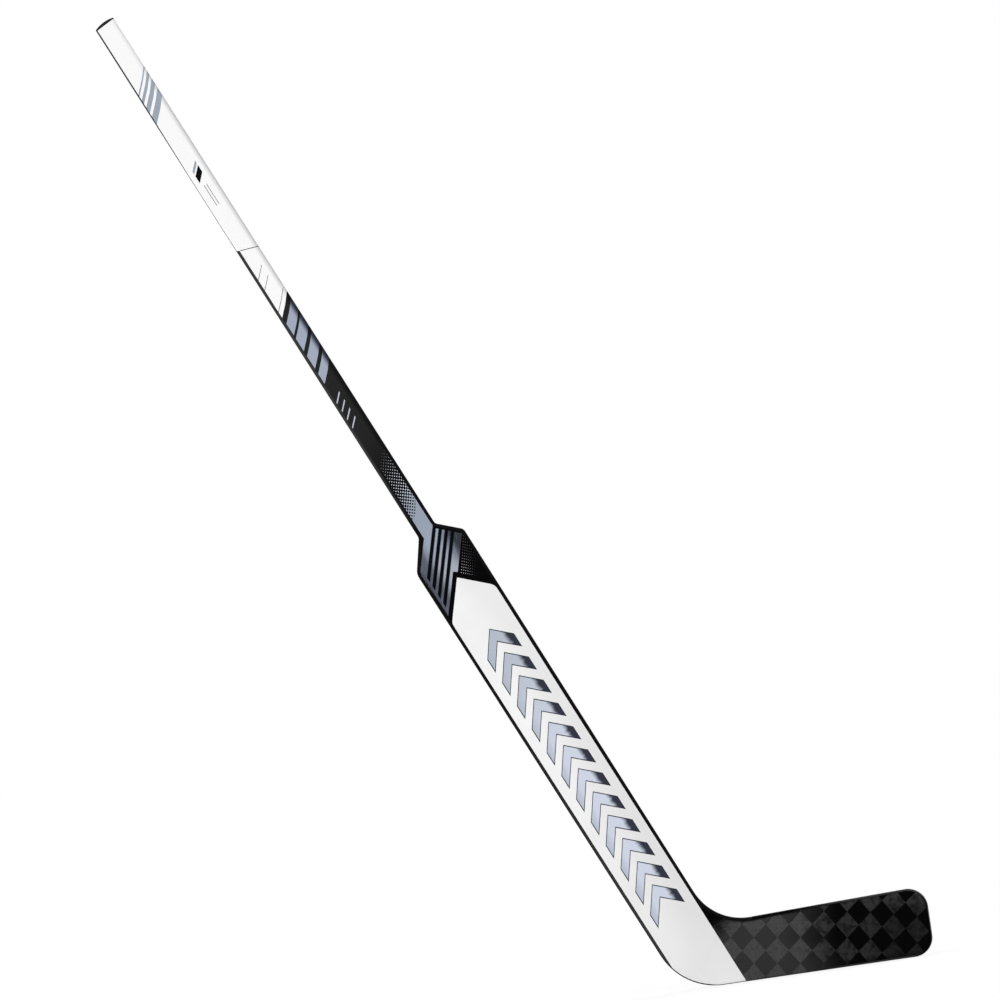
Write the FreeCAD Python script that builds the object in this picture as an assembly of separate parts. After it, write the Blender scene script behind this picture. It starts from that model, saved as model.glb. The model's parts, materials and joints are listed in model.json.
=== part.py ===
import FreeCAD, Part
import math
import os

# Composite hockey goalie stick, standing on its sole.
# The toe points to +X, the shaft leans to -X and the concave front faces -Y.
# The origin is the middle of the flat of the sole, on the ice.
# Lengths are in millimetres and angles in degrees.

# Whole stick
lie_angle = 65.85
heel_to_butt = 1511.0
edge_radius = 3.5
skin_thickness = 1.8
bond_gap = 0.15

# Shaft
shaft_width = 29.2
shaft_depth = 20.0
shaft_wall = 2.0
butt_slant = 4.5
tenon_in_shaft = 110.0
tenon_in_paddle = 120.0

# End plug
plug_crown = 4.1
plug_rim = 1.7
stem_length = 34.0
stem_wall = 1.8
fin_count = 4
fin_thickness = 1.6
fin_depth = 1.4

# Paddle and its two sloping shoulders
paddle_width = 86.2
heel_width = 83.6
paddle_thickness = 25.0
rail_width = 4.6
heel_flare_start = 663.8
heel_flare_rise = 39.7
toe_flare_start = 681.7
toe_flare_rise = 27.0
heel_flare_low_radius = 18.0
heel_flare_high_radius = 10.0
toe_flare_low_radius = 9.0
toe_flare_high_radius = 7.0
neck_length = 8.0
spar_width = 8.0
heel_block_height = 96.0
chevron_drop = 31.8

# Grip ribs on the shoulder
rib_count = 4
rib_first = 16.1
rib_pitch = 8.4
rib_tilt = 3.0
rib_width = 3.4
rib_height = 0.6
rib_margin = 4.6

# Blade
blade_length = 341.8
blade_toe_height = 93.0
blade_top_slope = 1.9
blade_toe_thickness = 17.0
blade_turn = 6.5
heel_radius = 86.0
throat_radius = 75.0
toe_low_radius = 26.0
toe_high_radius = 27.0
bridge_height = 44.0
bridge_thickness = 5.0

# Directions: up the shaft, across its face towards the toe, and out of the back
lie = math.radians(lie_angle)
up = FreeCAD.Vector(-math.cos(lie), 0, math.sin(lie))
across = FreeCAD.Vector(math.sin(lie), 0, math.cos(lie))
to_back = FreeCAD.Vector(0, 1, 0)
to_front = FreeCAD.Vector(0, -1, 0)
upright = FreeCAD.Vector(0, 0, 1)
sole_way = FreeCAD.Vector(1, 0, 0)

# Places that follow from the driving dimensions
sole_start = heel_radius * math.tan(lie / 2)
sole_end = blade_length - toe_low_radius
heel_x = -(sole_start + sole_end) / 2
heel_flare_end = heel_flare_start + heel_flare_rise
toe_flare_end = toe_flare_start + toe_flare_rise
neck_top = max(heel_flare_end, toe_flare_end) + neck_length
bore_width = shaft_width - 2 * shaft_wall
bore_depth = shaft_depth - 2 * shaft_wall
bore_radius = max(edge_radius - shaft_wall, 0.5)
tenon_width = bore_width - 2 * bond_gap
tenon_low = neck_top - tenon_in_paddle
far = 2 * heel_to_butt


def on_stick(side, height, depth=0.0):
    """Point beside the shaft's centreline, at a height up the stick from the heel corner."""
    corner = FreeCAD.Vector(heel_x, depth, 0)
    return corner + across * (heel_width / 2 + side) + up * height


def on_blade(distance, height, depth=0.0):
    """Point at a distance along the ice from the heel corner towards the toe."""
    return FreeCAD.Vector(heel_x + distance, depth, height)


def rounded_face(corners):
    """Flat face through (point, radius) corners, each corner turned into a tangent arc."""
    spans = []
    for i in range(len(corners)):
        point, radius = corners[i]
        back = (corners[i - 1][0] - point).normalize()
        ahead = (corners[(i + 1) % len(corners)][0] - point).normalize()
        half = back.getAngle(ahead) / 2
        if radius <= 0 or half > math.radians(89.9):
            spans.append((point, None, point))
            continue
        reach = radius / math.tan(half)
        middle = point + (back + ahead).normalize() * (radius / math.sin(half) - radius)
        spans.append((point + back * reach, middle, point + ahead * reach))
    edges = []
    for i in range(len(spans)):
        start, middle, stop = spans[i]
        if middle is not None:
            edges.append(Part.Arc(start, middle, stop).toShape())
        following = spans[(i + 1) % len(spans)][0]
        if stop.distanceToPoint(following) > 0.001:
            edges.append(Part.LineSegment(stop, following).toShape())
    return Part.Face(Part.Wire(edges))


def inset_corners(corners, inset):
    """The outline moved inwards: outer corners tighten and inner corners open."""
    moved = []
    for i in range(len(corners)):
        point, radius = corners[i]
        back = (point - corners[i - 1][0]).normalize()
        ahead = (corners[(i + 1) % len(corners)][0] - point).normalize()
        first = to_front.cross(back)
        second = to_front.cross(ahead)
        shift = (first + second) * (inset / (1 + first.dot(second)))
        outer = back.cross(ahead).dot(to_front) > 0
        changed = radius - inset if outer else radius + inset
        moved.append((point + shift, changed if radius > 0 else 0))
    return moved


def through(face):
    """Prism of a face drawn at depth zero, running through the whole thickness."""
    face.translate(to_front * paddle_width)
    return face.extrude(to_back * (2 * paddle_width))


def region(points):
    return through(rounded_face([(point, 0) for point in points]))


def between(low, high, left=-far, right=far):
    """Everything between two heights up the stick and two distances from its centreline."""
    return region([
        on_stick(left, low),
        on_stick(right, low),
        on_stick(right, high),
        on_stick(left, high),
    ])


def solids_by(shape, direction):
    """The separate solids of a shape, ordered along a direction."""
    return sorted(shape.Solids, key=lambda solid: solid.CenterOfMass.dot(direction))


def section(width, depth, radius, height):
    """Rounded rectangle square to the shaft."""
    x = width / 2
    y = depth / 2
    return rounded_face([
        (on_stick(-x, height, -y), radius),
        (on_stick(x, height, -y), radius),
        (on_stick(x, height, y), radius),
        (on_stick(-x, height, y), radius),
    ])


def cut_section(width, depth, cut, height):
    """Rectangle with its corners cut off, square to the shaft."""
    x = width / 2
    y = depth / 2
    corners = []
    for side, face in ((-1, -1), (1, -1), (1, 1), (-1, 1)):
        short = on_stick(side * (x - cut), height, face * y)
        long = on_stick(side * x, height, face * (y - cut))
        corners += [long, short] if side * face > 0 else [short, long]
    return Part.Face(Part.makePolygon(corners + corners[:1]))


# Face outline: neck, heel-side shoulder, heel, sole, toe, throat and toe-side shoulder
toe_edge_low = on_stick(heel_width / 2, 0)
toe_edge_high = on_stick(paddle_width / 2, toe_flare_start)
toe_edge = (toe_edge_high - toe_edge_low).normalize()
toe_top = on_blade(blade_length, blade_toe_height)
top_line = FreeCAD.Vector(-1, 0, -math.tan(math.radians(blade_top_slope)))
gap = toe_top - toe_edge_low
throat_reach = gap.cross(top_line).y / toe_edge.cross(top_line).y
throat = toe_edge_low + toe_edge * throat_reach


def outline(inset):
    top = neck_top + inset
    corners = [
        (on_stick(-shaft_width / 2, top), 0),
        (on_stick(-shaft_width / 2, heel_flare_end), heel_flare_high_radius),
        (on_stick(-paddle_width / 2, heel_flare_start), heel_flare_low_radius),
        (on_stick(-heel_width / 2, 0), heel_radius),
        (on_blade(blade_length, 0), toe_low_radius),
        (toe_top, toe_high_radius),
        (throat, throat_radius),
        (toe_edge_high, toe_flare_low_radius),
        (on_stick(shaft_width / 2, toe_flare_end), toe_flare_high_radius),
        (on_stick(shaft_width / 2, top), 0),
    ]
    return through(rounded_face(inset_corners(corners, inset)))


# The line where the white panel ends and the toe-side rail and the blade begin
panel_side = toe_edge_low + to_front.cross(toe_edge) * rail_width
toe_side = region([
    panel_side - toe_edge * paddle_width * 2,
    panel_side - toe_edge * paddle_width * 2 + across * far,
    panel_side + toe_edge * far + across * far,
    panel_side + toe_edge * far,
])
throat_turn = toe_edge.getAngle(top_line) / 2
throat_span = throat_radius * math.tan(throat_turn)
throat_top = throat_reach + throat_span
throat_cut = throat_top - math.sqrt(2 * rail_width * throat_radius)
mid_height = (throat_top + toe_flare_start) / 2

# Curve of the blade: the back bends first and the front later, by arcs of one radius,
# so the blade thins towards the toe and ends flat, turned towards the front
turn = math.radians(blade_turn)
half_thick = paddle_thickness / 2
bend_start = throat.x - heel_x + throat_span + edge_radius / 2
toe_start = blade_length - max(toe_low_radius, toe_high_radius) - 2 * edge_radius
bend_lag = (paddle_thickness * math.cos(turn) - blade_toe_thickness) / math.sin(turn)
bow_radius = (toe_start - bend_start - bend_lag) / math.sin(turn)
blade_end = blade_length + toe_low_radius
toe_along = FreeCAD.Vector(math.cos(turn), -math.sin(turn), 0)
toe_square = FreeCAD.Vector(math.sin(turn), math.cos(turn), 0)


def bowed(distance, start, depth, radius):
    """Depth of a blade face: flat, then an arc, then straight at the turn of the toe."""
    travel = distance - start
    reach = radius * math.sin(turn)
    if travel <= 0:
        return depth
    if travel <= reach:
        return depth - radius + math.sqrt(radius * radius - travel * travel)
    return depth - radius * (1 - math.cos(turn)) - (travel - reach) * math.tan(turn)


def front_depth(distance):
    return bowed(distance, bend_start + bend_lag, -half_thick, bow_radius)


def back_depth(distance):
    return bowed(distance, bend_start, half_thick, bow_radius)


def top_height(distance):
    return blade_toe_height - (blade_length - distance) * math.tan(math.radians(blade_top_slope))


def paddle_slab(cover):
    """Thickness of paddle and neck, tapering over the shoulder, at a depth below the faces."""
    wide = half_thick - cover
    slim = shaft_depth / 2 - cover
    slope = math.atan2(abs(wide - slim), heel_flare_rise)
    ease = 0.3 * heel_flare_rise / math.tan(max(slope, 0.001) / 2)
    side = -paddle_width
    corners = [
        (on_stick(side, -paddle_width, -wide), 0),
        (on_stick(side, heel_flare_start, -wide), ease),
        (on_stick(side, heel_flare_end, -slim), ease),
        (on_stick(side, neck_top, -slim), 0),
        (on_stick(side, neck_top, slim), 0),
        (on_stick(side, heel_flare_end, slim), ease),
        (on_stick(side, heel_flare_start, wide), ease),
        (on_stick(side, -paddle_width, wide), 0),
    ]
    return rounded_face(corners).extrude(across * (3 * paddle_width))


def blade_slab(cover, base, along, rise):
    """Thickness of the blade over a rise, drawn from a base point along a line of the blade."""
    chains = []
    for start, side in ((bend_start + bend_lag, -1), (bend_start, 1)):
        depth = side * (half_thick - cover)
        radius = bow_radius - side * cover
        bent = [start + radius * math.sin(angle) for angle in (0, turn / 2, turn)]
        stations = [0] + bent + [blade_end]
        chains.append([base + along * s + to_back * bowed(s, start, depth, radius) for s in stations])
    front, back = chains
    edges = [
        Part.LineSegment(front[0], front[1]).toShape(),
        Part.Arc(front[1], front[2], front[3]).toShape(),
        Part.LineSegment(front[3], front[4]).toShape(),
        Part.LineSegment(front[4], back[4]).toShape(),
        Part.LineSegment(back[4], back[3]).toShape(),
        Part.Arc(back[3], back[2], back[1]).toShape(),
        Part.LineSegment(back[1], back[0]).toShape(),
        Part.LineSegment(back[0], front[0]).toShape(),
    ]
    return Part.Face(Part.Wire(edges)).extrude(rise)


def round_outer_edges(solid, thickness_way, ends):
    """Round the edges where side walls meet the faces, leaving out those on the end planes."""
    chosen = []
    for edge in solid.Edges:
        middle = edge.valueAt((edge.FirstParameter + edge.LastParameter) / 2)
        tilts = []
        for face in solid.ancestorsOfType(edge, Part.Face):
            u, v = face.Surface.parameter(middle)
            tilts.append(abs(face.normalAt(u, v).dot(thickness_way)))
        on_end = [abs((middle - point).dot(way)) < 0.01 * way.Length for point, way in ends]
        if min(tilts) < 0.3 and max(tilts) > 0.9 and not any(on_end):
            chosen.append(edge)
    return solid.makeFillet(edge_radius, chosen)


# Moulded paddle, neck, heel and throat, in one flat piece up to the start of the curve
bend_zone = region([
    on_blade(bend_start, -edge_radius),
    on_blade(far, -edge_radius),
    on_blade(far, throat.z + throat_span),
    on_blade(bend_start, throat.z + throat_span),
])
flat_body = outline(0).common(paddle_slab(0)).cut(bend_zone)
flat_ends = [(on_stick(0, neck_top), up), (on_blade(bend_start, 0), sole_way)]
flat_body = round_outer_edges(flat_body, to_back, flat_ends)

# Moulded curve of the blade, with its sole and its top edge each square to the bend
toe_front = on_blade(toe_start, 0, front_depth(toe_start))
before_bend = Part.makeBox(far, far, far, on_blade(bend_start - far, -far / 2, -far / 2))
past_toe = Part.makeBox(far, far, far, FreeCAD.Vector(0, -far / 2, -far / 2))
past_toe.rotate(FreeCAD.Vector(0, 0, 0), upright, -blade_turn)
past_toe.translate(toe_front)
edge_rise = 2 * rail_width + edge_radius


def bend_edge(base, along, inward):
    """Strip of the curved blade along one edge, with the two outer corners of that edge rounded."""
    strip = blade_slab(0, base, along, inward)
    ends = [(base + inward, inward), (base, along), (base + along * blade_end, along)]
    return round_outer_edges(strip, to_back, ends).cut(before_bend).cut(past_toe)


top_way = top_line * (-1 / top_line.Length)
top_square = top_way.cross(to_back)
sole_bend = bend_edge(on_blade(0, 0), sole_way, upright * edge_rise)
top_bend = bend_edge(on_blade(0, top_height(0)), top_way, top_square * -edge_rise)

# Moulded toe: flat, square to its own faces
toe_reach = (blade_length - toe_start) / math.cos(turn) - blade_toe_thickness / 2 * math.tan(turn)
toe_corners = [
    (toe_front, 0),
    (toe_front + toe_along * toe_reach, toe_low_radius),
    (toe_front + toe_along * toe_reach + upright * blade_toe_height, toe_high_radius),
    (toe_front + upright * top_height(toe_start), 0),
]
toe_body = rounded_face(toe_corners).extrude(toe_square * blade_toe_thickness)
toe_body = round_outer_edges(toe_body, toe_square, [(toe_front, toe_along)])

# The rim is the band of rail width round the outline; skins and cores fill the window inside it
window = outline(rail_width)
rim = flat_body.cut(window)
paddle_window = window.cut(toe_side)
blade_window = window.common(toe_side).common(between(-far, throat_cut))

# Tenon: fills the paddle's depth, then steps down into the bore of the tube
paddle_hollow = paddle_slab(skin_thickness)
tenon = between(tenon_low, neck_top, -tenon_width / 2, tenon_width / 2).common(paddle_hollow)
tongue = cut_section(tenon_width, bore_depth - 2 * bond_gap, bore_radius, neck_top)
tenon = tenon.fuse(tongue.extrude(up * tenon_in_shaft)).removeSplitter()

# Shoulder slopes, and the chevron where the shoulder skin meets the white panel
flare_low = on_stick(-paddle_width / 2, heel_flare_start)
flare = (on_stick(-shaft_width / 2, heel_flare_end) - flare_low).normalize()
toe_flare = (on_stick(shaft_width / 2, toe_flare_end) - toe_edge_high).normalize()
chevron = on_stick(0, heel_flare_start - chevron_drop)
shoulder_zone = region([
    chevron,
    chevron - toe_flare * (2 * paddle_width),
    chevron - toe_flare * (2 * paddle_width) + up * far,
    chevron - flare * (2 * paddle_width) + up * far,
    chevron - flare * (2 * paddle_width),
])

# Paddle skins, cores and rails
paddle_skins = paddle_window.common(paddle_slab(0)).cut(paddle_hollow)
paddle_back_skin, paddle_front_skin = solids_by(paddle_skins.cut(shoulder_zone), to_front)
shoulder_back_skin, shoulder_front_skin = solids_by(paddle_skins.common(shoulder_zone), to_front)
paddle_core = paddle_window.common(paddle_hollow)
heel_zone = between(-paddle_width, heel_block_height)
heel_block = paddle_core.common(heel_zone)
spar = paddle_core.common(between(heel_block_height, tenon_low, -spar_width / 2, spar_width / 2))
foam = paddle_core.cut(heel_zone).cut(tenon).cut(spar)
heel_side_foam, toe_side_foam = solids_by(foam, across)

upper_rail = rim.common(between(mid_height, neck_top + 1, 0, far)).cut(tenon)
lower_rail = flat_body.common(toe_side).common(between(throat_cut, mid_height))
heel_wrap = rim.cut(between(throat_cut, far, 0, far)).cut(tenon)
throat_edge, heel_side_rail = solids_by(heel_wrap, across * -1)
toe_side_rail = upper_rail.fuse([lower_rail, throat_edge]).removeSplitter()

# Blade skins, cores and bridge
blade_rise = upright * (2 * blade_toe_height)
blade_hollow = blade_slab(skin_thickness, on_blade(0, 0), sole_way, blade_rise)
blade_skins = blade_window.common(blade_slab(0, on_blade(0, 0), sole_way, blade_rise)).cut(blade_hollow)
blade_back_skin, blade_front_skin = solids_by(blade_skins, to_front)
blade_core = blade_window.common(blade_hollow)
bridge_low = bridge_height - bridge_thickness / 2
bridge_high = bridge_height + bridge_thickness / 2
bridge_zone = region([
    on_blade(-far, bridge_low),
    on_blade(far, bridge_low),
    on_blade(far, bridge_high),
    on_blade(-far, bridge_high),
])
blade_bridge = blade_core.common(bridge_zone)
blade_lower_core, blade_upper_core = solids_by(blade_core.cut(bridge_zone), upright)

# Blade edges: sole strip and top edge along the curve, and the cap round the toe
blade_sole_strip = sole_bend.cut(window)
blade_top_edge = top_bend.cut(window)
blade_toe_cap = toe_body.cut(window)

# Grip ribs stand on the shoulder, nearly parallel to its heel-side slope
tilt = math.radians(rib_tilt)
flare_side = to_back.cross(flare)
rib_way = flare * math.cos(tilt) + flare_side * math.sin(tilt)
rib_reach = rib_way * (2 * paddle_width)
rib_half = to_back.cross(rib_way) * (rib_width / 2)
strips = []
for i in range(rib_count):
    middle = flare_low + flare_side * (rib_first + i * rib_pitch)
    strips.append(region([
        middle - rib_half - rib_reach,
        middle + rib_half - rib_reach,
        middle + rib_half + rib_reach,
        middle - rib_half + rib_reach,
    ]))
rib_zone = outline(rail_width + rib_margin)
ribs = Part.makeCompound(strips).common(rib_zone).common(paddle_slab(-rib_height)).cut(paddle_slab(0))
rib_solids = solids_by(ribs, to_back)
front_ribs = Part.makeCompound(rib_solids[:rib_count])
back_ribs = Part.makeCompound(rib_solids[rib_count:])

# The butt is cut at a slight slant, longer on the toe side
slant = math.radians(butt_slant)
butt = on_stick(0, heel_to_butt)
butt_line = across * math.cos(slant) + up * math.sin(slant)
butt_way = up * math.cos(slant) - across * math.sin(slant)
past_butt = region([
    butt - butt_line * shaft_width,
    butt + butt_line * shaft_width,
    butt + butt_line * shaft_width + butt_way * shaft_width,
    butt - butt_line * shaft_width + butt_way * shaft_width,
])

# Shaft tube
tube_length = heel_to_butt + shaft_width / 2 - neck_top
shaft_tube = section(shaft_width, shaft_depth, edge_radius, neck_top).extrude(up * tube_length)
shaft_bore = section(bore_width, bore_depth, bore_radius, neck_top).extrude(up * tube_length)
crown = shaft_tube.common(past_butt)
shaft_tube = shaft_tube.cut(shaft_bore).cut(past_butt)

# End plug: a low crown, arched across its width, on a hollow stem with sealing fins
arch_rise = plug_crown - plug_rim
arch_radius = (shaft_width * shaft_width / 4 + arch_rise * arch_rise) / (2 * arch_rise)
arch_foot = butt + butt_way * (plug_crown - arch_radius) + to_front * shaft_depth
arch = Part.makeCylinder(arch_radius, 2 * shaft_depth, arch_foot, to_back)
fin_width = bore_width - 2 * bond_gap
fin_breadth = bore_depth - 2 * bond_gap
stem_width = fin_width - 2 * fin_depth
stem_breadth = fin_breadth - 2 * fin_depth
stem_foot = heel_to_butt - stem_length
stem = section(stem_width, stem_breadth, 0, stem_foot).extrude(up * (stem_length + plug_crown))
plug = crown.fuse(stem).common(arch)
fin_pitch = stem_length / (fin_count + 1)
for i in range(fin_count):
    fin = cut_section(fin_width, fin_breadth, bore_radius, stem_foot + (i + 0.5) * fin_pitch)
    plug = plug.fuse(fin.extrude(up * fin_thickness))
cavity = section(stem_width - 2 * stem_wall, stem_breadth - 2 * stem_wall, 0, stem_foot)
plug = plug.cut(cavity.extrude(up * (stem_length - stem_wall)))

nodes = {
    "shaft_tube": shaft_tube,
    "butt_end_plug": plug,
    "shaft_tenon": tenon,
    "shoulder_front_skin": shoulder_front_skin,
    "shoulder_back_skin": shoulder_back_skin,
    "shoulder_front_ribs": front_ribs,
    "shoulder_back_ribs": back_ribs,
    "paddle_front_skin": paddle_front_skin,
    "paddle_back_skin": paddle_back_skin,
    "paddle_heel_side_rail": heel_side_rail,
    "paddle_toe_side_rail": toe_side_rail,
    "paddle_heel_side_foam": heel_side_foam,
    "paddle_toe_side_foam": toe_side_foam,
    "paddle_spar": spar,
    "heel_block": heel_block,
    "blade_front_skin": blade_front_skin,
    "blade_back_skin": blade_back_skin,
    "blade_upper_core": blade_upper_core,
    "blade_lower_core": blade_lower_core,
    "blade_bridge": blade_bridge,
    "blade_sole_strip": blade_sole_strip,
    "blade_top_edge": blade_top_edge,
    "blade_toe_cap": blade_toe_cap,
}

os.makedirs("parts", exist_ok=True)
for name, shape in nodes.items():
    shape.exportStep("parts/" + name + ".step")
    print(name, shape.isValid(), len(shape.Solids), "solids", round(shape.Volume / 1000, 2), "cm3")
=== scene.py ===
# %% [markdown]
# A composite hockey goalie stick, dressed over its CAD frame.
# The CAD model already holds every solid at its real size, so this lesson adds what a solid cannot
# show: paint, print, carbon weave, rubber and plastic, and the light to see them in.

# %% Load the frame
import json
import math

import bpy
from mathutils import Matrix, Vector


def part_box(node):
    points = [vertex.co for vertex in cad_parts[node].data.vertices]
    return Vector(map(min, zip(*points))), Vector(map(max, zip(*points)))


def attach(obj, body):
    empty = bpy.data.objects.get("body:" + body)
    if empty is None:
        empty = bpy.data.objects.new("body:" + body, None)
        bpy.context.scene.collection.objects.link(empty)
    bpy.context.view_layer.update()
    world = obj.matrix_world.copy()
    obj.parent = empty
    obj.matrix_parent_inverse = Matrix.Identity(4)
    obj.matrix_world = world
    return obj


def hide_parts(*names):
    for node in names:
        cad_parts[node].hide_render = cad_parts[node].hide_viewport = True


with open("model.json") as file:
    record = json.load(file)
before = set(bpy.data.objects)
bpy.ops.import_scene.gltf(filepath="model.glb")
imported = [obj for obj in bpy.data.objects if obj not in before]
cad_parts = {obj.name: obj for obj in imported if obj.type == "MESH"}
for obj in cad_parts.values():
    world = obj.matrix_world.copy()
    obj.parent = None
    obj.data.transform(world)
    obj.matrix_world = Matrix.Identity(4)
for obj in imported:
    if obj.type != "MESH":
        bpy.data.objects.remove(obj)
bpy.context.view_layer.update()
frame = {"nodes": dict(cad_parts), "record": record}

mm = 0.001
nodes = frame["nodes"]
print(len(nodes), "CAD nodes")

# %% [markdown]
# The print on a goalie stick follows the shaft, which leans, so heights are measured up the stick and
# sides across it. Both directions could be typed in as numbers. The packed record already has a mount
# on the centreline whose axis runs up the shaft, so they are read from there and follow the CAD model.

# %% Directions of the stick
mounts = {mount["name"]: mount for mount in frame["record"]["mounts"]}
grip = Vector(mounts["hand_grip"]["pos_m"])
up = Vector(mounts["hand_grip"]["axis"]).normalized()
across = Vector((up.z, 0, -up.x))
to_back = Vector((0, 1, 0))
plumb = Vector((0, 0, 1))
ground = Vector((0, 0, 0))
grip_height = 690 * mm
foot = grip - up * grip_height
face_depth = abs(mounts["paddle_front_face"]["pos_m"][1])


def on_stick(side, height):
    """Point in the mid-plane, at a distance beside the centreline and a height up the stick."""
    return foot + across * side + up * height


print("foot of the centreline", [round(v, 4) for v in foot])
print("lie", round(math.degrees(math.asin(up.z)), 2), "degrees")

# %% [markdown]
# The photograph looks square at the front face from far away, with the whole stick turned a little in
# the picture. A long lens at a long distance gives the same flat view. The turn belongs to the camera
# and not to the stick, because the stick stands level on its sole.

# %% Camera
picture_turn = math.radians(8.33)
picture_width = 1.343
picture_centre = Vector((-0.3333, -face_depth, 0.6878))
picture_right = Vector((math.cos(picture_turn), 0, -math.sin(picture_turn)))
picture_up = Vector((math.sin(picture_turn), 0, math.cos(picture_turn)))
camera_distance = 30.0
camera_reach = 200.0
camera_place = picture_centre - to_back * camera_distance

bpy.ops.object.camera_add()
camera = bpy.context.object
camera.name = "camera"
camera.data.lens = camera.data.sensor_width * camera_distance / picture_width
camera.data.clip_end = camera_reach
axes = Matrix((picture_right, picture_up, -to_back)).transposed().to_4x4()
camera.matrix_world = Matrix.Translation(camera_place) @ axes
bpy.context.scene.camera = camera
print("lens", round(camera.data.lens, 1), "mm")

# %% [markdown]
# A product photograph has even, soft light and a white surround. The surround is white only to the rays
# that look at it or mirror it, so it does not wash out the stick. The rays that light the stick meet a
# dim sky instead, and two lamps do the rest, so that a colour renders about as it is written.

# %% Studio surround
scene = bpy.context.scene
scene.view_settings.view_transform = "Standard"
sky_light = 0.42


def seen_rays(tree):
    """Socket that is 1 for rays that look at a surface, mirror it or pass through glass to it."""
    rays = tree.nodes.new("ShaderNodeLightPath")
    either = tree.nodes.new("ShaderNodeMath")
    either.operation = "MAXIMUM"
    tree.links.new(rays.outputs["Is Camera Ray"], either.inputs[0])
    tree.links.new(rays.outputs["Is Glossy Ray"], either.inputs[1])
    any_seen = tree.nodes.new("ShaderNodeMath")
    any_seen.operation = "MAXIMUM"
    tree.links.new(either.outputs[0], any_seen.inputs[0])
    tree.links.new(rays.outputs["Is Transmission Ray"], any_seen.inputs[1])
    return any_seen.outputs[0]


world = bpy.data.worlds.new("studio")
scene.world = world
world.use_nodes = True
sky = world.node_tree.nodes["Background"]
sky.inputs["Color"].default_value = (1, 1, 1, 1)
strength = world.node_tree.nodes.new("ShaderNodeMapRange")
strength.inputs["To Min"].default_value = sky_light
strength.inputs["To Max"].default_value = 1.0
world.node_tree.links.new(seen_rays(world.node_tree), strength.inputs["Value"])
world.node_tree.links.new(strength.outputs[0], sky.inputs["Strength"])
print("sky light", sky_light)

# %% [markdown]
# The stick stands on a large pale floor, which lies a hair below the sole. Paint alone could make it
# white, but then it would need far more light than the stick can take. So the eye sees a glow mixed into
# matt paint: the glow gives the white, and the paint keeps the soft shadow of the stick.

# %% Floor
floor_size = 80.0
floor_drop = 0.2 * mm
floor_colour = (0.93, 0.93, 0.93, 1)
floor_glow = 0.75
glow_level = 1.07

bpy.ops.mesh.primitive_plane_add(size=floor_size, location=(0, 0, -floor_drop))
floor = bpy.context.object
floor.name = "floor"
floor_paint = bpy.data.materials.new("pale_floor")
floor_paint.use_nodes = True
tree = floor_paint.node_tree
matt = tree.nodes["Principled BSDF"]
matt.inputs["Base Color"].default_value = floor_colour
matt.inputs["Roughness"].default_value = 0.9
matt.inputs["Specular IOR Level"].default_value = 0.0
glow = tree.nodes.new("ShaderNodeEmission")
glow.inputs["Strength"].default_value = glow_level
blend = tree.nodes.new("ShaderNodeMixShader")
share = tree.nodes.new("ShaderNodeMath")
share.operation = "MULTIPLY"
share.inputs[1].default_value = floor_glow
tree.links.new(seen_rays(tree), share.inputs[0])
tree.links.new(share.outputs[0], blend.inputs[0])
tree.links.new(matt.outputs[0], blend.inputs[1])
tree.links.new(glow.outputs[0], blend.inputs[2])
tree.links.new(blend.outputs[0], tree.nodes["Material Output"].inputs["Surface"])
floor.data.materials.append(floor_paint)
print("floor of", floor_size, "m")

# %% [markdown]
# Both faces of the stick are worth seeing, so there is one lamp in front and one behind. Area lamps close
# by would light one end of the long stick more than the other. Sun lamps are equally strong everywhere,
# and a wide spread makes their shadows as soft as those of a large studio lamp.

# %% Lamps
lamp_spread = math.radians(40)
lamp_height = 32
lamp_power = 1.35


def far_lamp(name, turn):
    """Broad lamp far away, at a turn in degrees from the front of the stick."""
    bpy.ops.object.light_add(type="SUN")
    lamp = bpy.context.object
    lamp.name = name
    lamp.data.energy = lamp_power
    lamp.data.angle = lamp_spread
    lamp.rotation_euler = (math.radians(90 - lamp_height), 0, math.radians(turn))


far_lamp("front_lamp", -20)
far_lamp("back_lamp", 165)
print("2 lamps, each spread over", round(math.degrees(lamp_spread)), "degrees")

# %% [markdown]
# Paint and print have sharp edges that follow the stick, and they must hold at any size, so no picture
# is used. Each edge is arithmetic on the place of a surface point. Shader nodes can do that, but a node
# for every sum is hard to read, so a small class lets the sums be written as ordinary arithmetic.

# %% Numbers that vary over a surface
class Field:
    """A number that varies over a surface: one output of a shader node, with everyday arithmetic."""

    def __init__(self, tree, socket):
        self.tree = tree
        self.socket = socket

    def __add__(self, other):
        return combine(self.tree, "ADD", self, other)

    def __sub__(self, other):
        return combine(self.tree, "SUBTRACT", self, other)

    def __rsub__(self, other):
        return combine(self.tree, "SUBTRACT", other, self)

    def __mul__(self, other):
        return combine(self.tree, "MULTIPLY", self, other)

    def __gt__(self, other):
        return combine(self.tree, "GREATER_THAN", self, other)

    def __lt__(self, other):
        return combine(self.tree, "LESS_THAN", self, other)

    def __and__(self, other):
        return combine(self.tree, "MINIMUM", self, other)

    def __or__(self, other):
        return combine(self.tree, "MAXIMUM", self, other)

    def size(self):
        return combine(self.tree, "ABSOLUTE", self)

    def cell(self, pitch):
        """Distance into the present one of a row of equal cells."""
        return combine(self.tree, "FLOORED_MODULO", self, pitch)

    def wave(self, pitch):
        return combine(self.tree, "COSINE", self * (2 * math.pi / pitch))

    def band(self, low, width):
        """1 from a low value up to a width above it, and 0 elsewhere."""
        return (self > low) & (self < low + width)

    def fade(self, start, stop):
        """0 up to the start, 1 from the stop on, and a soft ramp between."""
        node = self.tree.nodes.new("ShaderNodeMapRange")
        node.interpolation_type = "SMOOTHSTEP"
        node.inputs["From Min"].default_value = start
        node.inputs["From Max"].default_value = stop
        self.tree.links.new(self.socket, node.inputs["Value"])
        return Field(self.tree, node.outputs["Result"])


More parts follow.
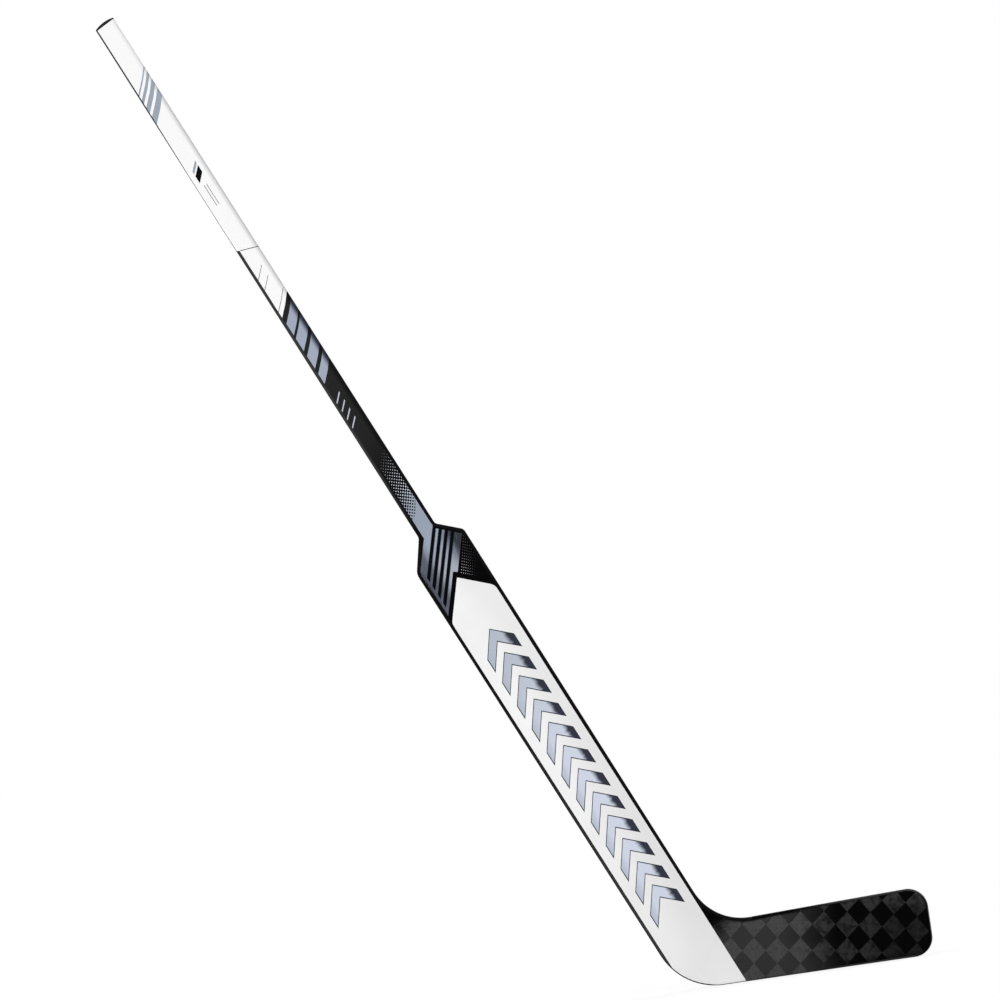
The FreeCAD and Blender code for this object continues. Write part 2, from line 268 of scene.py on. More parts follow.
def feed(tree, socket, value):
    """Link a field to a socket, or set a plain value on it."""
    if isinstance(value, Field):
        tree.links.new(value.socket, socket)
    else:
        socket.default_value = value


def combine(tree, operation, *values):
    """Field made by one Math node from fields and plain numbers."""
    node = tree.nodes.new("ShaderNodeMath")
    node.operation = operation
    for socket, value in zip(node.inputs, values):
        feed(tree, socket, value)
    return Field(tree, node.outputs[0])


print("fields have", len([name for name in vars(Field) if name != "__init__"]), "entries")

# %% [markdown]
# Every finish here starts the same way: a Principled shader, the place of the surface point, and colours
# laid over each other like coats of paint. One class holds these three, so that each finish below can be
# read as a list of coats. Screen colours are turned into the linear ones that the shader works with.

# %% Finishes
MIX_UNDER = 6
MIX_OVER = 7
MIX_COLOUR = 2


def screen(red, green, blue):
    """Linear colour of a screen colour from 0 to 255."""
    levels = [level / 255 for level in (red, green, blue)]
    return tuple(v / 12.92 if v <= 0.04045 else ((v + 0.055) / 1.055) ** 2.4 for v in levels) + (1.0,)


def shade(level):
    """Linear colour of a neutral grey on the screen."""
    return screen(level, level, level)


class Finish:
    """A material, its shader, and the coats of colour on it."""

    def __init__(self, name, colour, roughness, specular):
        self.material = bpy.data.materials.new(name)
        self.material.use_nodes = True
        self.tree = self.material.node_tree
        self.shader = self.tree.nodes["Principled BSDF"]
        self.shader.inputs["Roughness"].default_value = roughness
        self.shader.inputs["Specular IOR Level"].default_value = specular
        self.point = self.tree.nodes.new("ShaderNodeTexCoord")
        self.colour = colour
        self.shader.inputs["Base Color"].default_value = colour

    def along(self, direction, start):
        """Distance of the surface point from a start, measured along a direction."""
        node = self.tree.nodes.new("ShaderNodeVectorMath")
        node.operation = "DOT_PRODUCT"
        node.inputs[1].default_value = direction
        self.tree.links.new(self.point.outputs["Object"], node.inputs[0])
        return Field(self.tree, node.outputs["Value"]) - start.dot(direction)

    def facing(self):
        """1 on the front and the back of the stick, 0 on its sides."""
        node = self.tree.nodes.new("ShaderNodeVectorMath")
        node.operation = "DOT_PRODUCT"
        node.inputs[1].default_value = to_back
        self.tree.links.new(self.point.outputs["Normal"], node.inputs[0])
        return Field(self.tree, node.outputs["Value"]).size()

    def grain(self, length, stretch=(1, 1, 1), turn=0.0, detail=2.0):
        """Noise between 0 and 1 with grains of a length, stretched and turned in the stick's plane."""
        place = self.tree.nodes.new("ShaderNodeMapping")
        place.vector_type = "TEXTURE"
        place.inputs["Rotation"].default_value = (0, turn, 0)
        place.inputs["Scale"].default_value = stretch
        noise = self.tree.nodes.new("ShaderNodeTexNoise")
        noise.inputs["Scale"].default_value = 1 / length
        noise.inputs["Detail"].default_value = detail
        self.tree.links.new(self.point.outputs["Object"], place.inputs["Vector"])
        self.tree.links.new(place.outputs["Vector"], noise.inputs["Vector"])
        return Field(self.tree, noise.outputs["Fac"])

    def blend(self, under, over, where):
        """Colour that goes from one to the other with a field."""
        node = self.tree.nodes.new("ShaderNodeMix")
        node.data_type = "RGBA"
        feed(self.tree, node.inputs[0], where)
        feed(self.tree, node.inputs[MIX_UNDER], under)
        feed(self.tree, node.inputs[MIX_OVER], over)
        return Field(self.tree, node.outputs[MIX_COLOUR])

    def coat(self, colour, where):
        """Lay a colour over the coats so far, where a field is 1."""
        self.colour = self.blend(self.colour, colour, where)
        feed(self.tree, self.shader.inputs["Base Color"], self.colour)

    def roughen(self, height, depth):
        """Fine relief from a field."""
        bump = self.tree.nodes.new("ShaderNodeBump")
        bump.inputs["Strength"].default_value = 1.0
        bump.inputs["Distance"].default_value = depth
        feed(self.tree, bump.inputs["Height"], height)
        self.tree.links.new(bump.outputs["Normal"], self.shader.inputs["Normal"])


white = shade(243)
black = screen(4, 4, 5)
silver = screen(155, 164, 180)
navy = screen(42, 47, 62)
dark_navy = screen(30, 34, 46)
print("silver in linear light", [round(level, 3) for level in silver[:3]])

# %% [markdown]
# The shoulder has two straight slopes that narrow the paddle to the shaft, and all the print near it is
# ruled parallel to them. So the slopes come first, each as a low point, a direction up along it and a
# direction into the paddle. They are worked out from the widths of the paddle and the shaft.

# %% Slopes of the shoulder
half_paddle = 43.1 * mm
half_shaft = 14.6 * mm
toe_slope_low = on_stick(half_paddle, 681.7 * mm)
toe_slope_top = on_stick(half_shaft, 708.7 * mm)
toe_slope = (toe_slope_top - toe_slope_low).normalized()
toe_slope_in = toe_slope.cross(to_back)
heel_slope_low = on_stick(-half_paddle, 663.8 * mm)
heel_slope_top = on_stick(-half_shaft, 703.5 * mm)
heel_slope = (heel_slope_top - heel_slope_low).normalized()
heel_slope_in = to_back.cross(heel_slope)
lane_tilt = math.tan(math.radians(3))


def lane_of(finish):
    """Distance in from the heel-side slope, on lines that lean a little from it as the grip ribs do."""
    return finish.along(heel_slope_in - heel_slope * lane_tilt, heel_slope_low)


print("slopes", [round(math.degrees(math.asin(way.z)), 1) for way in (heel_slope, toe_slope)], "degrees")

# %% [markdown]
# The white panel of the paddle is sprayed, and painted shade in its colour makes it a little darker
# towards the toe side and the heel and lighter higher up. One flat white with the shading left to the
# lamps could do, but the light in this scene is even, so here the shade is painted into the colour. The
# rails and the shoulder also show some of this panel, so its white and its bent corner are helpers that
# take any finish.

# %% White panel of the paddle
panel_lane = 54.4 * mm
panel_top = 66.0 * mm
panel_half = 38.4 * mm
panel_bend = 0.7 * mm
upper_light_white = shade(251)
toe_shade_white_low = shade(231)
toe_shade_white_high = shade(241)


def shaded_panel_white(finish):
    """White paint with painted shade: darker towards the toe side and the heel, lighter higher up."""
    side = finish.along(across, foot)
    height = finish.along(up, foot)
    heel_side = finish.blend(white, upper_light_white, height.fade(80 * mm, 480 * mm))
    toe_side = finish.blend(toe_shade_white_low, toe_shade_white_high, height.fade(150 * mm, 680 * mm))
    toe_shade_weight = side.fade(-26 * mm, 30 * mm) * height.fade(-40 * mm, 90 * mm)
    return finish.blend(heel_side, toe_side, toe_shade_weight)


def past_bend(finish):
    """1 past the rounded corner where the lane of the panel meets the heel-side rail."""
    from_rail = finish.along(across, foot) + panel_half
    return (lane_of(finish) - panel_lane) * from_rail > panel_bend ** 2


print("white in linear light", round(white[0], 3))

# %% [markdown]
# The paddle carries a row of chevrons. They could be thin pieces laid on the face, but on the real stick
# such print is flush under the clear coat, so it is colour only. A point's height is corrected for the
# fall of the chevron's two arms, and then the row is only a matter of equal cells. What comes out is how
# deep a point lies inside the nearest chevron.

# %% Row of chevrons
chevron_pitch = 37 * mm
chevron_wide = 21 * mm
chevron_half = 24.7 * mm
chevron_low = 122 * mm
chevron_count = 12
chevron_heel_fall = 1.376
chevron_toe_fall = 0.936

paddle = Finish("paddle_paint", white, 0.28, 0.2)
side = paddle.along(across, foot)
height = paddle.along(up, foot)
rising = height + (side * chevron_toe_fall | side * -chevron_heel_fall) - chevron_low
step = rising.cell(chevron_pitch)
in_row = (step & (chevron_wide - step)) * math.cos(math.atan(chevron_toe_fall))
in_run = rising & (chevron_count * chevron_pitch - rising)
inside = in_row & (chevron_half - side.size()) & in_run
chevron = inside > 0.0
print(chevron_count, "chevrons at a pitch of", round(chevron_pitch / mm), "mm")

# %% [markdown]
# The chevrons are a metallic silver that greys up the paddle and turns navy at the toe side, through
# streaks as a brush leaves them, and each has a thin navy outline. The coats go on as in a workshop:
# white first, then the print, and last the black that frames the panel and rounds its corner.

# %% Paddle paint
outline_width = 1.3 * mm
panel_corner = 4.5 * mm
panel_edge = 37.4 * mm
panel_widening = 0.6 * mm
streak_reach = 6 * mm
chevron_metal = 0.3
pale_metal = screen(208, 214, 230)
grey_metal = screen(182, 189, 201)
heel_metal = screen(176, 184, 198)

streaks = paddle.grain(5 * mm, stretch=(10, 1, 1), turn=-math.radians(24))
metallic = paddle.blend(pale_metal, grey_metal, height.fade(330 * mm, 540 * mm))
metallic = paddle.blend(metallic, heel_metal, side.fade(-8 * mm, -22 * mm) * 0.7)
metallic = paddle.blend(metallic, navy, (side + streaks * streak_reach).fade(13 * mm, 21 * mm))
paddle.coat(shaded_panel_white(paddle), 1.0)
paddle.coat(screen(232, 232, 233), paddle.grain(60 * mm).fade(0.45, 0.75) * 0.3)
paddle.coat(metallic, chevron)
paddle.coat(dark_navy, chevron & (inside < outline_width))
below_top = panel_corner - (paddle.along(toe_slope_in, toe_slope_low) - panel_top)
off_side = panel_corner - (panel_half - side)
in_corner = (below_top > 0.0) & (off_side > 0.0)
past_round = below_top * below_top + off_side * off_side > panel_corner ** 2
paddle.coat(black, in_corner & past_round)
paddle.coat(black, (below_top > panel_corner) | 1.0 - past_bend(paddle))
paddle.coat(black, side - height.fade(420 * mm, 600 * mm) * panel_widening > panel_edge)
feed(paddle.tree, paddle.shader.inputs["Metallic"], chevron * chevron_metal)
paddle.roughen(paddle.grain(5 * mm), 0.01 * mm)
print("panel", round(2 * panel_half / mm, 1), "mm wide, outlines", round(outline_width / mm, 1), "mm")

# %% [markdown]
# The shoulder carries a silver-blue field that darkens to slate at the heel side, with a dark stripe
# under each grip rib. The stripes could be a striped texture, but they have to follow the ribs, so they
# are measured from the slopes of the shoulder as the ribs are: how far in from each, and how far along.

# %% Shoulder field and stripes
rib_count = 4
rib_first = 16.1 * mm
rib_pitch = 8.4 * mm
stripe_shift = 0.65 * mm
stripe_half = 1.8 * mm
stripe_soft = 3.2 * mm
stripe_end = -33.9 * mm
dark_lean = 1.2
pale_sheen = screen(174, 177, 187)
slate = screen(91, 95, 107)
deep_slate = screen(66, 69, 82)
dark_slate = screen(52, 57, 64)
bright_streak = screen(206, 212, 222)

shoulder = Finish("shoulder_paint", silver, 0.3, 0.02)
side = shoulder.along(across, foot)
inward = shoulder.along(heel_slope_in, heel_slope_low)
upward = shoulder.along(heel_slope, heel_slope_low)
from_toe = shoulder.along(toe_slope_in, toe_slope_low)
lane = lane_of(shoulder)
streaks = shoulder.grain(3 * mm, stretch=(1, 1, 12), turn=-math.radians(6))
shoulder.coat(pale_sheen, lane.fade(18 * mm, 30 * mm) * upward.fade(34 * mm, 8 * mm) * 0.8)
shoulder.coat(slate, side.fade(-8.5 * mm, -26 * mm))
shoulder.coat(deep_slate, side.fade(-31 * mm, -38 * mm) * 0.6)
dark_end = (upward + lane * dark_lean).fade(72.4 * mm, 106.4 * mm) & lane.fade(22 * mm, 40 * mm)
shoulder.coat(dark_slate, dark_end)
shoulder.coat(bright_streak, streaks.fade(0.5, 0.85) * 0.2)
in_pitch = (lane - stripe_shift - rib_first + rib_pitch / 2).cell(rib_pitch)
off_stripe = (in_pitch - rib_pitch / 2).size()
stripes = lane.band(rib_first - rib_pitch / 2, rib_count * rib_pitch) & (side > stripe_end)
shoulder.coat(dark_navy, off_stripe.fade(stripe_soft, stripe_half) & stripes)
shoulder.coat(black, (off_stripe < stripe_half) & stripes)
print(rib_count, "stripes at a pitch of", round(rib_pitch / mm, 1), "mm")

# %% [markdown]
# Black borders run round the shoulder, and its toe-side corner is black with rows of fading dots. The
# dots could be small discs, but they are flush print, so each is the part of a small cell that lies near
# the cell's middle. They shrink and darken away from the corner of the white panel.

# %% Shoulder borders and dots
heel_border = 5.6 * mm
heel_border_lap = 1.0 * mm
toe_border = 4.3 * mm
top_border = 6.6 * mm
corner_lane = 54.5 * mm
step_lane = 48.2 * mm
step_height = 6.4 * mm
dot_pitch = 2.88 * mm
dot_row = 3.76 * mm
dot_radius = 0.56 * mm
first_dot = 59.9 * mm
first_row = 58.4 * mm
dim_dot = screen(84, 84, 86)
bright_dot = screen(204, 204, 206)

shoulder.coat(black, (from_toe < top_border) & (lane > rib_first + stripe_shift - stripe_half))
shoulder.coat(black, lane > corner_lane)
shoulder.coat(black, (lane > step_lane) & (upward < step_height))
from_heel_edge = (side + half_paddle) & (lane + heel_border_lap) | side + half_shaft
shoulder.coat(black, from_heel_edge < heel_border)
from_toe_edge = (half_paddle - side) & from_toe | half_shaft - side
shoulder.coat(black, from_toe_edge < toe_border)
dot_side = (inward - first_dot + dot_pitch / 2).cell(dot_pitch) - dot_pitch / 2
dot_height = (from_toe - first_row + dot_row / 2).cell(dot_row) - dot_row / 2
dot_size = inward.fade(94 * mm, 58 * mm) * dot_radius
dot = dot_side * dot_side + dot_height * dot_height < dot_size * dot_size
dots = dot & (inward > 58.4 * mm) & (from_toe > 8 * mm) & (from_toe < 60.3 * mm)
near_corner = upward.fade(36 * mm, 2 * mm) * inward.fade(82 * mm, 60 * mm)
shoulder.coat(shoulder.blend(dim_dot, bright_dot, near_corner), dots)
shoulder.coat(shaded_panel_white(shoulder), past_bend(shoulder) & (from_toe > panel_top))
shoulder.roughen(shoulder.grain(5 * mm), 0.02 * mm)
shoulder.shader.inputs["Metallic"].default_value = 0.1
print("dots at a pitch of", round(dot_pitch / mm, 2), "by", round(dot_row / mm, 2), "mm")

# %% [markdown]
# Above the shoulder the shaft goes from silver through a halftone of dots into black. The dots could be a
# grid of small discs, but there are hundreds of them and they merge. So they are made as a printer makes
# them: two crossed waves are added, and all that lies above a limit is silver. The limit falls down the
# shaft, which gives small dots first, then a chequer, and last small dark holes.

# %% Shaft halftone
silver_left = -8.9 * mm
silver_right = 10.0 * mm
halftone_low = 735 * mm
halftone_even = 750 * mm
halftone_steep = 21 * mm
halftone_tail = 719 * mm
halftone_slow = 51.5 * mm
halftone_hole_limit = -0.5
halftone_step = 3.17 * mm
halftone_row = 4.03 * mm
halftone_fall = 0.12
halftone_lean = 0.067
halftone_hole = picture_centre - picture_right * (117.4 * mm) - picture_up * (9.2 * mm)
halftone_solid = 790 * mm
solid_start = 3.9 * mm
black_paint_and_sheen = screen(35, 35, 36)
shaded_black = screen(14, 14, 15)
shaft_rim_highlight_grey = screen(58, 58, 60)
bright_silver = screen(206, 211, 222)
dull_silver = screen(170, 175, 185)

shaft = Finish("shaft_paint", black_paint_and_sheen, 0.25, 0.05)
side = shaft.along(across, foot)
height = shaft.along(up, foot)
slant = height - side
silver_band = (side > silver_left) & (side < silver_right)
# Painted light on the black: its dark grey is black paint with a painted sheen, painted shade darkens it
# towards the toe-side edge, it turns plain black lower down, and a painted highlight lightens the heel
# side.
shaft.coat(shaded_black, side.fade(5 * mm, 12 * mm))
shaft.coat(black, height.fade(880 * mm, 760 * mm))
shaft.coat(shaft_rim_highlight_grey, side.fade(-9.5 * mm, -13 * mm) * height.fade(680 * mm, 860 * mm))
right = shaft.along(picture_right, halftone_hole)
rise = shaft.along(picture_up, halftone_hole)
columns = (right - rise * halftone_lean).wave(halftone_step)
rows = (rise + right * halftone_fall).wave(halftone_row)
steep_rise = (slant - halftone_even) * (1 / halftone_steep)
slow_rise = (slant - halftone_tail) * (1 / halftone_slow)
limit = steep_rise & slow_rise | halftone_hole_limit
dots = (columns + rows) * -1.0 > limit
solid = (right > solid_start) & (height < halftone_solid) | (slant < halftone_low)
dots = (dots | solid) & silver_band
dot_colour = shaft.blend(silver, bright_silver, height.fade(740 * mm, 780 * mm))
dot_colour = shaft.blend(dot_colour, dull_silver, height.fade(790 * mm, 840 * mm))
shaft.coat(dot_colour, dots)
print("halftone starts", round(halftone_low / mm), "mm up the stick")

# %% [markdown]
# Higher up, short ticks and slanted bars lead from black into white. They are ruled at 45 degrees, and
# where such print wraps over the rounded edge of the shaft it runs up a little further. So the slanted
# height has a bend in it near the toe-side edge, and each mark is a band of that height.

# %% Shaft ticks, bars and white
edge_start = 1.0 * mm
edge_wrap = 2.0 * mm
tick_width = 2.4 * mm
tick_middle = -4.5 * mm
tick_colour = screen(192, 197, 208)
mark_half = 5.6 * mm
bar_left = -10.0 * mm
white_start = 1062 * mm
edge_shade_white = screen(214, 214, 216)

print_slant = slant - side.fade(edge_start, half_shaft) * edge_wrap
bar_colour = shaft.blend(screen(165, 174, 192), navy, side.fade(4 * mm, 12 * mm))
for low, wide in ((956, 16), (980, 20), (1008, 20), (1033, 18.5)):
    shaft.coat(bar_colour, print_slant.band(low * mm, wide * mm) & (side > bar_left))
for low in (885, 898, 911, 924):
    in_tick = print_slant.band(low * mm, tick_width)
    shaft.coat(tick_colour, in_tick & ((side - tick_middle).size() < mark_half))
is_white = print_slant > white_start
shaft.coat(shade(255), is_white)
# Painted shade: the white turns grey towards the toe-side rounded edge, less so near the top end.
edge_shade = side.fade(6.5 * mm, 14.5 * mm) * (1.0 - height.fade(1400 * mm, 1455 * mm) * 0.65)
shaft.coat(edge_shade_white, is_white & edge_shade)
print("white starts", round(white_start / mm), "mm up the stick")

# %% [markdown]
# The white part has thin ruled lines, a dark strip and a dark rim along its heel side, a pair of slanted
# blocks with two fine lines below them, and a group of stripes near the top. They could be thin decals,
# but all of it is flush print again, so these are more bands, laid in the order in which they cover each
# other.

# %% Shaft lines, blocks and rim
line_start = 1154 * mm
line_width = 1.2 * mm
line_colour = screen(96, 97, 102)
line_left = -9.6 * mm
line_fall = 0.333
strip_top = 334.5 * mm
strip_edge = -10.4 * mm
strip_and_highlight_grey = screen(54, 54, 56)
steel = screen(160, 170, 184)
block_middle = -1.2 * mm
note_low = 1226 * mm
note_long = 32 * mm
note_half = 0.45 * mm
note_colour = screen(120, 122, 128)
thin_edge = 0.7 * mm
dark_edge = 1.4 * mm
edge_colour = screen(45, 45, 47)

for low, stop in ((1070.5, 12), (1105, 4.5), (1121, 4.5)):
    shaft.coat(line_colour, print_slant.band(low * mm, line_width) & (side < stop * mm))
below_strip_top = shaft.along(picture_up, picture_centre) < strip_top
shaft.coat(strip_and_highlight_grey, is_white & (side < strip_edge) & below_strip_top)
cross_line = height + side * line_fall - line_start
shaft.coat(line_colour, cross_line.band(0.0, line_width) & (side > line_left))
for low, wide in ((1374, 12), (1391.5, 9), (1406, 6), (1417.5, 3)):
    shaft.coat(steel, print_slant.band(low * mm, wide * mm))
for low, wide, colour in ((1270, 11, black), (1284, 4.4, steel)):
    in_block = print_slant.band(low * mm, wide * mm)
    shaft.coat(colour, in_block & ((side - block_middle).size() < mark_half))
in_note = height.band(note_low, note_long)
for place in (-3.4, 0.4):
    shaft.coat(note_colour, in_note & ((side - place * mm).size() < note_half))
edge = height.fade(1235 * mm, 1440 * mm) * dark_edge + thin_edge
shaft.coat(edge_colour, (side + half_shaft < edge) & (height > line_start))
shaft.roughen(shaft.grain(5 * mm), 0.01 * mm)
print("cross line", round(line_start / mm), "mm up the stick")

# %% [markdown]
# The blade is covered with a spread-tow carbon cloth: wide flat ribbons of fibre, woven so that squares
# of one direction and of the other alternate. Each direction reflects differently, so the cloth reads as
# a checkerboard on its corner. A checker texture could give that, but not the fibres in each square or
# the painted sheen, so the squares come from two crossed coordinates. The sheen is a painted reflection:
# the tows are paler at the heel and darker towards the toe, where the blade turns away. The pale tows are
# also lighter higher up and darker near the sole towards the toe.

# %% Carbon cloth
cloth_wide = 31.3 * mm
cloth_tall = 35.2 * mm
cloth_start = picture_centre + picture_right * (403.6 * mm) - picture_up * (569.8 * mm)
fibre_turn = math.atan2(cloth_wide, cloth_tall)
fibre = 0.9 * mm
along_tow = (1, 1, 30)
sag_start = 435 * mm
sag_span = 126 * mm
sag = 7.5 * mm
sheen_middle = 20 * mm
sheen_lean = 0.6


def weave(finish):
    """Colour of the cloth under a finish, with a painted sheen: pale at the heel, dark and crisp at the
    toe.
    """
    reach = finish.along(picture_right, picture_centre)
    past = (reach - sag_start | 0.0) * (1 / sag_span)
    right = finish.along(picture_right, cloth_start) * (1 / cloth_wide)
    above = finish.along(picture_up, cloth_start)
    rise = (above + past * past * sag) * (1 / cloth_tall)
    first = combine(finish.tree, "ROUND", right + rise)
    second = combine(finish.tree, "ROUND", right - rise)
    warp = (first + second).cell(2.0) < 0.5
    warp_fibres = finish.grain(fibre, stretch=along_tow, turn=picture_turn + fibre_turn)
    weft_fibres = finish.grain(fibre, stretch=along_tow, turn=picture_turn - fibre_turn)
    clouds = finish.grain(8 * mm, detail=5.0).fade(0.42, 0.66) * reach.fade(375 * mm, 440 * mm)
    mottle = finish.grain(4 * mm, detail=4.0).fade(0.42, 0.72)
    light_tow = finish.blend(shade(72), shade(45), reach.fade(402 * mm, 448 * mm))
    light_tow = finish.blend(light_tow, shade(31), reach.fade(480 * mm, 530 * mm))
    light_tow = finish.blend(light_tow, shade(70), above.fade(10 * mm, 40 * mm) * 0.4)
    light_tow = finish.blend(light_tow, shade(10), clouds * 0.75 | mottle * 0.28)
    light_tow = finish.blend(light_tow, shade(80), warp_fibres.fade(0.55, 0.9) * 0.2)
    near_sole = finish.along(plumb, ground).fade(10 * mm, 3 * mm) * reach.fade(420 * mm, 460 * mm)
    light_tow = finish.blend(light_tow, shade(10), near_sole * 0.6)
    sheen_fading = reach + (above + sheen_middle & 0.0) * sheen_lean
    dark_tow = finish.blend(shade(51), shade(3), sheen_fading.fade(362 * mm, 458 * mm))
    dark_tow = finish.blend(dark_tow, shade(20), weft_fibres.fade(0.6, 0.95) * 0.25)
    return finish.blend(dark_tow, light_tow, warp)


print("cloth squares", round(cloth_wide / mm, 1), "by", round(cloth_tall / mm, 1), "mm")

# %% [markdown]
# On the blade the cloth stops short of the top edge, where the edge band is bare black resin, and it
# sinks into a ragged shade in the throat, where the paddle turns into the blade. At the sole it runs over
# the rim. The shade could be left to the lamps, but the photograph shows it with a ragged edge, which
# even light does not give, so it is part of the finish.

# %% Blade finish
top_corner = Vector(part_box("blade_top_edge")[1])
top_slope = math.radians(1.9)
top_out = Vector((-math.sin(top_slope), 0, math.cos(top_slope)))
throat = picture_centre + picture_right * (278 * mm) - picture_up * (555.3 * mm)
throat_end = 335 * mm
throat_ragged = 36 * mm
throat_radius = 75 * mm
throat_base = on_stick(half_paddle + throat_radius, 0)
throat_height = (throat_radius - top_out.dot(throat_base - top_corner)) / top_out.dot(up)
throat_centre = throat_base + up * throat_height
sole_rim = 40 * mm
bare_rim_start = 430 * mm
flat_facing = 0.94


def distance(finish, point):
    """Distance from a point, measured in the plane of the stick."""
    beside = finish.along(picture_right, point)
    above = finish.along(picture_up, point)
    return combine(finish.tree, "SQRT", beside * beside + above * above)


blade = Finish("carbon_weave", shade(2), 0.35, 0.015)
reach = blade.along(picture_right, picture_centre)
from_top = blade.along(top_out, top_corner)
below_soft = from_top.fade(-3.0 * mm, -6.4 * mm) | reach.fade(385 * mm, 420 * mm)
below_band = from_top.fade(-2.4 * mm, -3.8 * mm) & below_soft | (reach < throat_end)
low = (blade.along(plumb, ground) < sole_rim) & (reach < bare_rim_start)
flat_face = blade.facing() + low * 0.5 > flat_facing
ragged = (blade.grain(2.5 * mm, stretch=(3, 1, 1), detail=4.0) - 0.5) * throat_ragged
in_light = (distance(blade, throat) + ragged).fade(12 * mm, 45 * mm)
below_arc = (distance(blade, throat_centre) - throat_radius).fade(3.5 * mm, 8 * mm)
# Painted highlight: a grey line on the rounded top edge and sole rim, from mid-blade to short of the toe.
blade_rim_highlight = reach.fade(400 * mm, 480 * mm) * reach.fade(572 * mm, 552 * mm)
blade.coat(screen(58, 58, 59), (blade.facing() < flat_facing) * blade_rim_highlight)
blade.coat(weave(blade), (flat_face & below_band) * in_light * below_arc)
blade.roughen(blade.grain(fibre, stretch=along_tow, turn=picture_turn - fibre_turn), 0.02 * mm)
print("throat of radius", round(throat_radius / mm), "mm, centred", round(throat_height / mm), "mm up")

# %% [markdown]
# The rails that frame the paddle are gloss black. Round the heel the white of the paddle runs out over
# the rim on both faces and stops a little short of the corner, which leaves a thin dark line there, finer
# at the sole. Past the panel, at the sole, the rail is covered by the blade's cloth. The rails could be
# cut into pieces of one colour each, but the photograph shows no seam, so each is whole and painted.

# %% Rail paint
panel_side = 37.2 * mm
panel_spread = 1.3 / 672.0
panel_rail_top = 300 * mm
heel_white_depth = face_depth - 0.55 * mm
sole_white_gain = 0.6 * mm
cloth_facing = 0.44

rails = Finish("rail_paint", black, 0.22, 0.04)
side = rails.along(across, foot)
height = rails.along(up, foot)
depth = rails.along(to_back, ground)
spread = height * panel_spread
in_panel = (side + spread > -panel_side) & (side - spread < panel_side) & (height < panel_rail_top)
rails.coat(screen(15, 15, 16), rails.grain(25 * mm) * 0.6)
# Painted highlight: the heel-side rail is grey on its front and back near the edge, fading out up the
# paddle.
heel_rim_highlight = side.fade(-36 * mm, -39 * mm) * height.fade(560 * mm, 60 * mm)
rails.coat(strip_and_highlight_grey, heel_rim_highlight * rails.facing().fade(0.5, 0.9))
on_sole = rails.along(picture_right, picture_centre).fade(279 * mm, 296 * mm)
rim_white = depth.size() + on_sole * sole_white_gain > heel_white_depth
rails.coat(shaded_panel_white(rails), in_panel & rim_white)
low = rails.along(plumb, ground) < sole_rim
rails.coat(weave(rails), low & (rails.facing() > cloth_facing) & (side - spread > panel_side))
rails.roughen(rails.grain(5 * mm), 0.02 * mm)
print("rails black, heel white from", round(heel_white_depth / mm, 2), "mm depth")

# %% [markdown]
# The grip ribs are soft rubber pads bonded over the dark stripes, and the end plug is satin moulded
# plastic. Both are nearly black, so what tells them apart is the surface: rubber is matt with a coarse
# grain, and the plastic is smoother and catches a little light.

# %% Rubber and plastic
rubber = Finish("rib_rubber", screen(5, 6, 10), 0.55, 0.02)
rubber.coat(screen(13, 15, 22), rubber.grain(2 * mm).fade(0.45, 0.8) * 0.5)
rubber.roughen(rubber.grain(0.5 * mm), 0.05 * mm)

plug = Finish("plug_plastic", screen(22, 22, 23), 0.45, 0.1)
plug.coat(screen(34, 34, 36), plug.grain(4 * mm) * 0.4)
plug.roughen(plug.grain(0.6 * mm), 0.04 * mm)
print("2 finishes for the moulded pieces")

# %% [markdown]
# In the CAD model the edges of the ribs and the plug are sharp. The pieces could be modelled anew, but a
# copy of the CAD shape that is merged and bevelled keeps the slope of the ribs and the arch of the plug,
# and gains the rounded edges that a moulded piece has.

# %% Moulded pieces
merge_gap = 0.005 * mm
flat_angle = math.radians(1)
smooth_angle = math.radians(40)
rib_rounding = 0.4 * mm
plug_rounding = 0.8 * mm


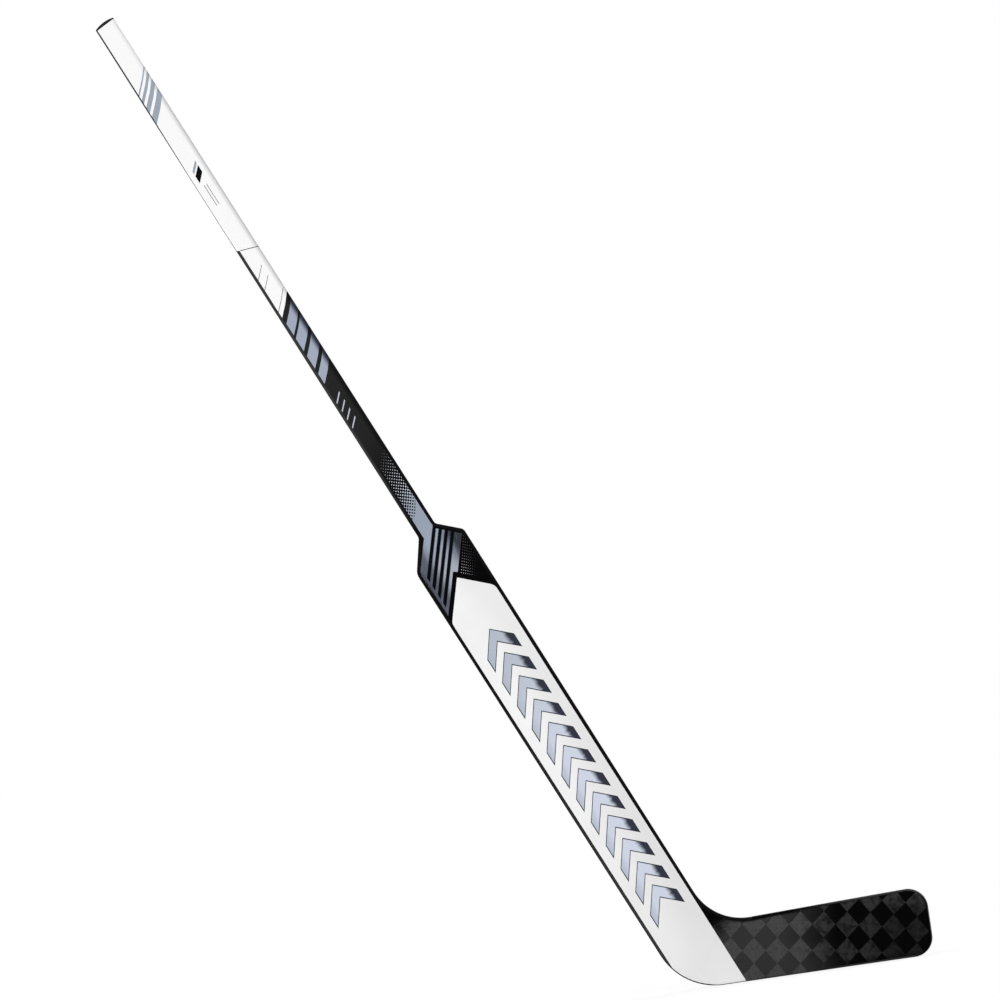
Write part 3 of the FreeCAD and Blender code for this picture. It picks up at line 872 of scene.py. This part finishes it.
def rounded_copy(node_name, piece_name, finish, rounding):
    """Copy of a CAD node with its triangles merged into faces and its edges rounded."""
    bpy.ops.object.select_all(action="DESELECT")
    piece = bpy.data.objects.new(piece_name, nodes[node_name].data.copy())
    bpy.context.collection.objects.link(piece)
    bpy.context.view_layer.objects.active = piece
    piece.select_set(True)
    bpy.ops.object.mode_set(mode="EDIT")
    bpy.ops.mesh.select_all(action="SELECT")
    bpy.ops.mesh.remove_doubles(threshold=merge_gap)
    bpy.ops.mesh.dissolve_limited(angle_limit=flat_angle)
    bpy.ops.object.mode_set(mode="OBJECT")
    bevel = piece.modifiers.new("rounding", "BEVEL")
    bevel.width = rounding
    bevel.segments = 3
    bevel.limit_method = "ANGLE"
    bpy.ops.object.modifier_apply(modifier=bevel.name)
    bpy.ops.object.shade_smooth_by_angle(angle=smooth_angle)
    piece.data.materials.clear()
    piece.data.materials.append(finish.material)
    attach(piece, "root")
    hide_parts(node_name)
    print(piece_name, len(piece.data.polygons), "faces")


rounded_copy("shoulder_front_ribs", "grip_ribs_front", rubber, rib_rounding)
rounded_copy("shoulder_back_ribs", "grip_ribs_back", rubber, rib_rounding)
rounded_copy("butt_end_plug", "rounded_end_plug", plug, plug_rounding)

# %% [markdown]
# The pieces inside the stick keep their CAD shapes: the cores are closed-cell foam, and the spar, tenon
# and bridge are bare laminate. They are hidden, so a plain colour could do, but whoever takes the stick
# apart sees them, and so they have their cells and fibres.

# %% Foam and laminate
foam = Finish("core_foam", screen(226, 220, 200), 0.9, 0.1)
cells = foam.grain(1.5 * mm, detail=3.0)
foam.coat(screen(196, 188, 160), cells.fade(0.4, 0.7))
foam.roughen(cells, 0.3 * mm)

laminate = Finish("bare_laminate", screen(30, 30, 32), 0.5, 0.2)
laminate.coat(screen(54, 54, 57), laminate.grain(1 * mm, stretch=(1, 1, 20)).fade(0.4, 0.7))
laminate.roughen(laminate.grain(1 * mm), 0.05 * mm)
print("2 finishes for the pieces inside")

# %% [markdown]
# Every CAD node now gets its finish. They could be named one by one, but the record already gives each
# node a material slot, so a short list from slot to finish dresses them all.

# %% Dress the CAD nodes
by_slot = {
    "painted_paddle_skin": paddle,
    "painted_shoulder_skin": shoulder,
    "painted_carbon_shaft": shaft,
    "black_rail": rails,
    "woven_carbon_blade": blade,
    "rubber_grip_ribs": rubber,
    "black_plastic_plug": plug,
    "foam_core": foam,
    "inner_carbon": laminate,
}
for part in frame["record"]["subparts"]:
    mesh = nodes[part["node"]].data
    mesh.materials.clear()
    mesh.materials.append(by_slot[part["material_slot"]].material)
print(len(nodes), "nodes dressed in", len(by_slot), "finishes")

# %% [markdown]
